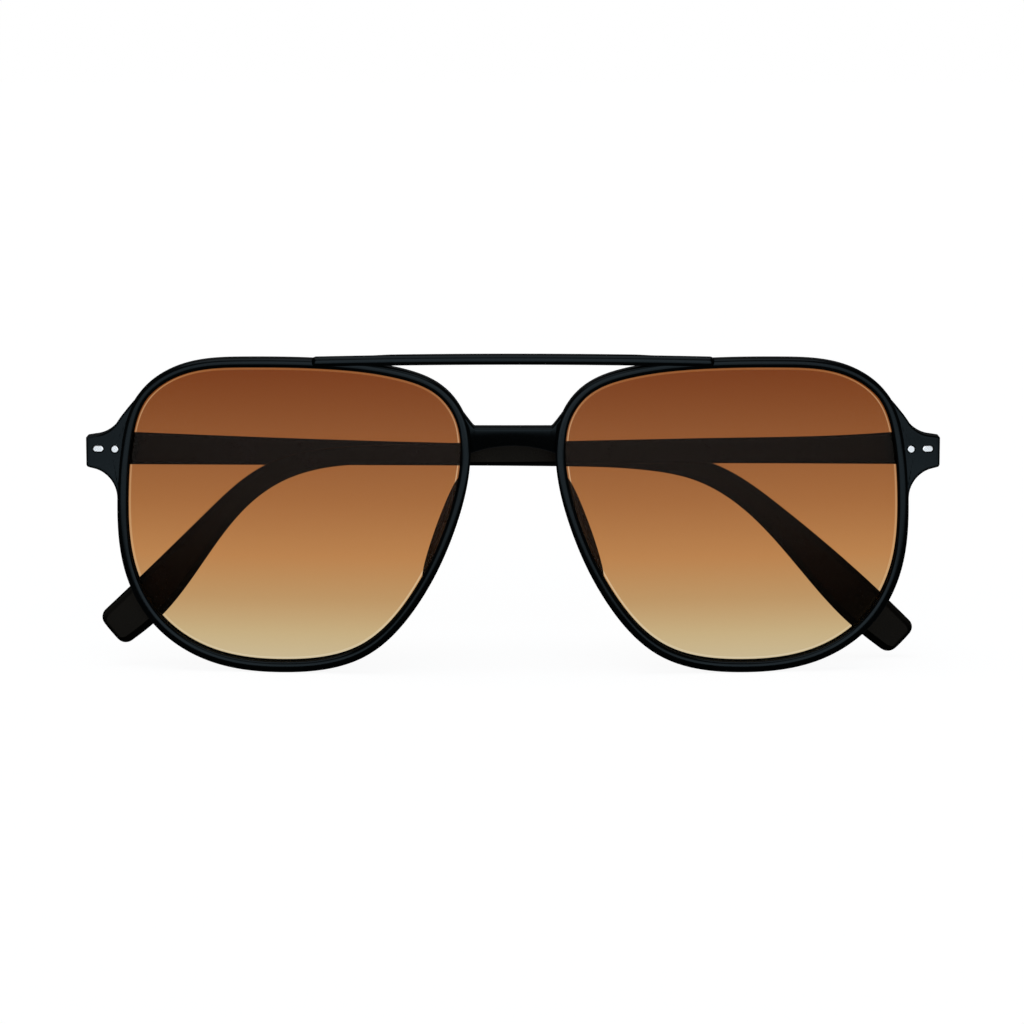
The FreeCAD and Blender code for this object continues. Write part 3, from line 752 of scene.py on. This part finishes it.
for side, name in ((-1.0, "left"), (1.0, "right")):
    mesh = grid_mesh([(lens_points(side), False, True, True)])
    piece(f"lens_{name}_tinted", mesh, tinted_lens, "front", "tinted_lens", f"lens_{name}")
    # Second slot: the painted edge highlight on the ring beside the rim.
    mesh.materials.append(lens_edge_painted_highlight)
    painted_highlight_faces(mesh, side)

# %% [markdown]
# ## The nose pads
# Each pad is a flat oval glued behind the rim beside the nose. It splays outwards to the back, so
# a sliver of it shows through the lens.

# %% Nose pads
PAD_MIDDLE = np.array([11.5, FACE_Y + 5.8, 23.8])
PAD_HALF = np.array([0.95, 5.2, 9.5])
PAD_LEAN, PAD_SPLAY = np.radians(-20.0), np.radians(-12.0)


def pad_points(side):
    """A flat oval, leaned and splayed: rings whose size is the cosine of the height's angle,
    to the power 0.6, so that the long sides run nearly straight."""
    up = np.linspace(-np.pi / 2, np.pi / 2, 49)[:, None]
    round_ = np.linspace(0, 2 * np.pi, 64, endpoint=False)[None, :]
    ring = np.clip(np.cos(up), 0, 1) ** 0.6
    x = PAD_HALF[0] * np.cos(round_) * ring
    y = PAD_HALF[1] * np.sin(round_) * ring
    z = PAD_HALF[2] * np.sin(up) * np.ones_like(round_)
    c, s = np.cos(PAD_SPLAY), np.sin(PAD_SPLAY)
    x, y = x * c - y * s, x * s + y * c
    c, s = np.cos(PAD_LEAN), np.sin(PAD_LEAN)
    x, z = x * c + z * s, -x * s + z * c
    points = np.stack([x, y, z], -1) + PAD_MIDDLE
    return points * np.array([side, 1.0, 1.0])


for side, name in ((-1.0, "left"), (1.0, "right")):
    pad = grid_mesh([(pad_points(side), False, True, True)])
    piece(f"nose_pad_{name}_oval", pad, pad_nylon, "front", "nose_pad", f"nose_pad_{name}")

# %% [markdown]
# ## The studs
# The heads of the pins that hold the hinge show in each end piece: one round and one oblong.
# Each is a low polished dome. Its hole in the moulding is a little wider, so a thin black ring, which
# is the shadow in that gap, runs round the dome. That shadow is painted, as a flat black washer.

# %% Studs
STUD_HEIGHT = 37.2
STUD_DOME = 0.10
STUD_GAP, SHADOW_WASHER_PROUD = 0.14, 0.015
STUDS = {"round": (66.75, 0.0, 0.62), "oblong": (69.6, 0.4, 0.525)}


# Painted shadow: near-black for the shade in the gap round each stud.
made, tree, where = material("shadow_in_the_gap_round_a_stud")
stud_gap_painted_shadow = made
surface(tree, Base_Color=blended(tree, noise(tree, where, 1.0), rgba("#010101"), rgba("#020202")),
        Roughness=0.9, Specular_IOR_Level=0.05)


def stadium(middle_x, half_length, radius):
    """A round-ended outline: a circle whose two halves are moved apart."""
    turn = np.linspace(0, 2 * np.pi, 72, endpoint=False)
    return np.stack([middle_x + np.sign(np.cos(turn)) * half_length + radius * np.cos(turn),
                     STUD_HEIGHT + radius * np.sin(turn)], -1)


def stud_points(middle_x, half_length, radius, side):
    """A stadium shrunk in rings: flat on top, a quarter round down, then the painted shadow's black
    washer round it.
    """
    outline = stadium(middle_x, half_length, radius)
    middle = np.array([middle_x, STUD_HEIGHT])
    flat, round_down = np.linspace(0.02, 0.8, 8), np.sin(np.linspace(0, np.pi / 2, 8))
    share = np.concatenate([flat, 0.8 + 0.2 * round_down])
    rise = np.concatenate([np.ones(8), np.sqrt(1 - round_down ** 2)])
    plan = middle + (outline[None] - middle) * share[:, None, None]
    shadow_washer = stadium(middle_x, half_length, radius + STUD_GAP)
    plan = np.concatenate([plan, shadow_washer[None], shadow_washer[None]])
    depth = np.append(END_DEPTH - SHADOW_WASHER_PROUD - (STUD_DOME - SHADOW_WASHER_PROUD) * rise,
                      [END_DEPTH - SHADOW_WASHER_PROUD, 2.0])
    return behind_face(plan, depth[:, None]) * np.array([side, 1.0, 1.0])


def painted_shadow_faces(mesh, middle_x, half_length, radius):
    """Gives the painted shadow's material to the faces outside the stud's own outline."""
    centres = np.empty(len(mesh.polygons) * 3)
    mesh.polygons.foreach_get("center", centres)
    x, _, z = centres.reshape(-1, 3).T / MM
    beyond = np.clip(np.abs(np.abs(x) - middle_x) - half_length, 0, None)
    outside = np.hypot(beyond, z - STUD_HEIGHT) > radius * 1.02
    mesh.polygons.foreach_set("material_index", outside.astype(np.int32))


for kind, shape in STUDS.items():
    for side, name in ((-1.0, "left"), (1.0, "right")):
        mesh = grid_mesh([(stud_points(*shape, side), False, True, True)])
        piece(f"stud_{kind}_{name}_head", mesh, stud_steel, "front", "stud_metal",
              f"stud_{kind}_{name}")
        # Second slot: the painted shadow ring round the stud.
        mesh.materials.append(stud_gap_painted_shadow)
        painted_shadow_faces(mesh, *shape)

# %% [markdown]
# ## The temples
# Each temple is a flat bar whose ear end is bent down and widened to a paddle. Its section runs
# between an upper and a lower edge curve, with flat faces and sloping bands along both edges.
# The bands are narrow on the bar and wide on the ear end.

# %% Temple shape
ARM_INNER, ARM_OUTER = 2.0, 4.6       # the arm's two faces, behind the hinge axis
BUTT, TIP_CORNER = -1.2, 1.7
END_ROUND, BUTT_ROUND = 0.6, 0.3      # how the faces close at the tip and at the hinge
BAND_NARROW, BAND_WIDE = 0.5, 1.15    # widths of the sloping bands
WIDENS_FROM, WIDENS_OVER = 84.0, 26.0
TEMPLES = {
    "left": {
        "fold": 3.0,
        "upper": [(1.5, 2.75), (30.0, 1.6), (60.0, 0.7), (85.0, -0.1), (95.5, -1.2),
                  (102.0, -3.2), (112.0, -9.7), (129.0, -24.2), (135.75, -30.75)],
        "lower": [(1.5, -2.75), (40.0, -2.95), (75.0, -3.2), (90.0, -3.95), (98.0, -5.7),
                  (104.8, -9.5), (110.0, -14.2), (124.5, -30.3), (131.15, -35.5)],
    },
    "right": {
        "fold": -0.8,
        "upper": [(1.5, 2.75), (8.5, 2.3), (30.0, 1.75), (60.0, 1.15), (90.0, 0.5),
                  (101.5, -0.6), (108.3, -2.8), (118.2, -10.7), (131.4, -23.5), (136.6, -28.4)],
        "lower": [(1.5, -2.7), (45.0, -2.6), (85.0, -2.75), (98.0, -3.3), (105.0, -5.4),
                  (110.8, -9.3), (115.6, -14.7), (127.2, -29.6), (132.3, -33.5)],
    },
}


def edge_curve(points):
    """The straight hinge end and the smooth edge after it, finely sampled."""
    smooth = smooth_curve(points, False, 1500)
    butt = np.array([[BUTT, points[0][1]]])
    return np.vstack([butt, smooth])


ROUND_FROM, SLOPE_DROP, ROUND_DROP = 0.34, 0.26, 0.5


def band_section(share):
    """Distance in from the edge and depth from the face, for a band of the given width.

    From the flat: a crease, a straight slope down, then a quarter round into the side.
    """
    steps = np.array([(1.06, 0.0), (1.0, 0.0), (0.94, 0.02), (0.62, 0.14), (ROUND_FROM, SLOPE_DROP)])
    inward = steps[:, 0][None] * share[:, None]
    down = steps[:, 1][None] * np.ones_like(share)[:, None]
    turn = np.linspace(0.25, np.pi / 2, 7)
    round_in = ROUND_FROM * share[:, None] * (1 - np.sin(turn))[None]
    round_down = np.repeat((SLOPE_DROP + ROUND_DROP * (1 - np.cos(turn)))[None], len(share), 0)
    return np.hstack([inward, round_in]), np.hstack([down, round_down])


def temple_points(shape):
    """Sections of the arm in its hinge's own frame: along, behind the axis, above the hinge."""
    upper, lower = edge_curve(shape["upper"]), edge_curve(shape["lower"])
    length = np.linalg.norm(np.diff(upper, axis=0), axis=1).sum()
    shares = spaced(0.0, 1.0, BUTT_ROUND / length, TIP_CORNER / length, 1 / 240)
    top, low = resample(upper, shares), resample(lower, shares)
    to_end = (1 - shares) * length
    t = np.clip(TIP_CORNER - to_end, 0, TIP_CORNER)
    tuck = TIP_CORNER - np.sqrt(TIP_CORNER ** 2 - t ** 2)
    across = low - top
    width = np.linalg.norm(across, axis=1)
    across /= width[:, None]
    top, low = top + across * tuck[:, None], low - across * tuck[:, None]
    thin_t = np.clip(np.maximum(END_ROUND - to_end, BUTT_ROUND - shares * length), 0, END_ROUND)
    thin = END_ROUND - np.sqrt(END_ROUND ** 2 - thin_t ** 2)
    wide = np.clip((top[:, 0] - WIDENS_FROM) / WIDENS_OVER, 0, 1)
    band = BAND_NARROW + (BAND_WIDE - BAND_NARROW) * wide ** 2 * (3 - 2 * wide)
    inward, down = band_section(band)
    columns = []
    inner, outer = (ARM_INNER, 1.0), (ARM_OUTER, -1.0)
    for start, sign, (face, step) in ((top, 1.0, inner), (low, -1.0, inner),
                                      (low, -1.0, outer), (top, 1.0, outer)):
        plan = start[:, None, :] + sign * across[:, None, :] * inward[..., None]
        behind = face + step * (down + thin[:, None])
        columns.append(np.stack([plan[..., 0], behind, plan[..., 1]], -1))
    from_top, to_low, back_low, back_top = columns
    print("temple", round(float(length), 1), "mm along its upper edge,", len(shares), "sections")
    return np.concatenate([from_top[:, ::-1], to_low, back_low[:, ::-1], back_top], axis=1)


def in_place(points, side, fold):
    """Turns points of a hinge's own frame by the fold, leans them with the axis and moves them."""
    a = np.radians(fold)
    x, y, z = points[..., 0], points[..., 1], points[..., 2]
    x, y = x * np.cos(a) - y * np.sin(a), x * np.sin(a) + y * np.cos(a)
    y, z = y * np.cos(-LEAN) - z * np.sin(-LEAN), y * np.sin(-LEAN) + z * np.cos(-LEAN)
    placed = np.stack([x, y, z], -1) + HINGE
    return placed * np.array([side, 1.0, 1.0])


for side, name in ((1.0, "left"), (-1.0, "right")):
    shape = TEMPLES[name]
    grid = in_place(temple_points(shape), side, shape["fold"])
    arm = grid_mesh([(grid, False, True, True)], sharp_degrees=14.0)
    piece(f"temple_{name}_arm", arm, temple_nylon, f"temple_{name}", "temple_plastic",
          f"temple_{name}")

# %% [markdown]
# ### Temple rivets
# The two rivets that hold the hinge leaf end in low domed heads on the temple's outer face, and
# their shanks run through the plastic to the leaf.

# %% Rivets
RIVETS_ALONG, RIVET_RADIUS, RIVET_DOME = (2.9, 5.6), 0.55, 0.12
SHANK_FROM = 1.2             # the shank starts this far inside the arm


def rivet_points(along_arm):
    """Rings of a round bar behind the axis, with a domed head: dome = 1 - share squared."""
    share = np.concatenate([np.linspace(0.02, 1.0, 9), [1.0]])
    behind = np.append(ARM_OUTER + RIVET_DOME * (1 - share[:-1] ** 2), ARM_INNER + SHANK_FROM)
    turn = np.linspace(0, 2 * np.pi, 40, endpoint=False)
    ring = RIVET_RADIUS * np.stack([np.cos(turn), 0 * turn, np.sin(turn)], -1)
    points = share[:, None, None] * ring[None]
    points[..., 0] += along_arm
    points[..., 1] = behind[:, None]
    return points


for side, name in ((1.0, "left"), (-1.0, "right")):
    heads = [(in_place(rivet_points(x), side, TEMPLES[name]["fold"]), False, True, True)
             for x in RIVETS_ALONG]
    piece(f"temple_rivets_{name}_heads", grid_mesh(heads), stud_steel, f"temple_{name}",
          "stud_metal", f"temple_rivets_{name}")

# %% [markdown]
# ## Carried-over CAD pieces
# The hinges, their screws and the hidden core wires keep their CAD shapes.

# %% Finishes on CAD nodes
CARRIED = {"hinge_front": hinge_metal, "temple_hinge": hinge_metal, "hinge_screw": screw_metal,
           "temple_core": core_metal}
for kind, finish in CARRIED.items():
    for side in ("left", "right"):
        node = frame["nodes"][f"{kind}_{side}"]
        node.data.materials.clear()
        node.data.materials.append(finish)

# %% [markdown]
# ## The table
# A wide pale sheet, so far across that its edge is never seen close by. The frame mirrors only
# the lit patch before it; the sheet beyond lies in the room's shade and gives almost nothing.

# %% Floor
made, tree, where = material("matt_white_table_paper")
paper = noise(tree, where, 3.0)
LIT_MIDDLE, LIT_NEAR, LIT_FAR = np.array([0.0, -800.0, 0.0]), 590.0, 700.0
LIT_GLOW = 1.2
tone = blended(tree, paper, rgba("#8f8f8f"), rgba("#8a8a8a"))
lit = add_node(tree, "ShaderNodeBsdfDiffuse", {"Color": tone})
glow = add_node(tree, "ShaderNodeEmission", {"Color": rgba("#ffffff"), "Strength": 0.925})
bright = add_node(tree, "ShaderNodeAddShader", {0: lit.outputs[0], 1: glow.outputs[0]})
from_lit = add_node(tree, "ShaderNodeVectorMath", {0: where, 1: LIT_MIDDLE * MM},
                    operation="DISTANCE").outputs["Value"]
lit_share = add_node(tree, "ShaderNodeMapRange", {
    "Value": from_lit, "From Min": LIT_NEAR * MM, "From Max": LIT_FAR * MM,
    "To Min": LIT_GLOW, "To Max": ROOM_GLOW}, interpolation_type="SMOOTHSTEP").outputs[0]
mirrored = add_node(tree, "ShaderNodeEmission", {"Color": rgba("#eaf2f8"), "Strength": lit_share})
is_seen = add_node(tree, "ShaderNodeLightPath").outputs["Is Camera Ray"]
both = add_node(tree, "ShaderNodeMixShader",
                {0: is_seen, 1: mirrored.outputs[0], 2: bright.outputs[0]})
add_node(tree, "ShaderNodeOutputMaterial", {"Surface": both.outputs[0]})
FLOOR_HALF, FLOOR_Z = 3000.0, -0.02      # just under the rims, so the two never share a plane
across = np.linspace(-FLOOR_HALF, FLOOR_HALF, 9)
floor_x, floor_y = np.meshgrid(across, across, indexing="ij")
floor_grid = np.stack([floor_x, floor_y, np.full_like(floor_x, FLOOR_Z)], -1)
floor_mesh = bpy.data.meshes.new("floor")
floor_mesh.from_pydata((floor_grid.reshape(-1, 3) * MM).tolist(), [],
                       grid_faces(9, 9, False, False)[:, ::-1].tolist())
floor_mesh.materials.append(made)
floor = bpy.data.objects.new("floor", floor_mesh)
bpy.context.scene.collection.objects.link(floor)
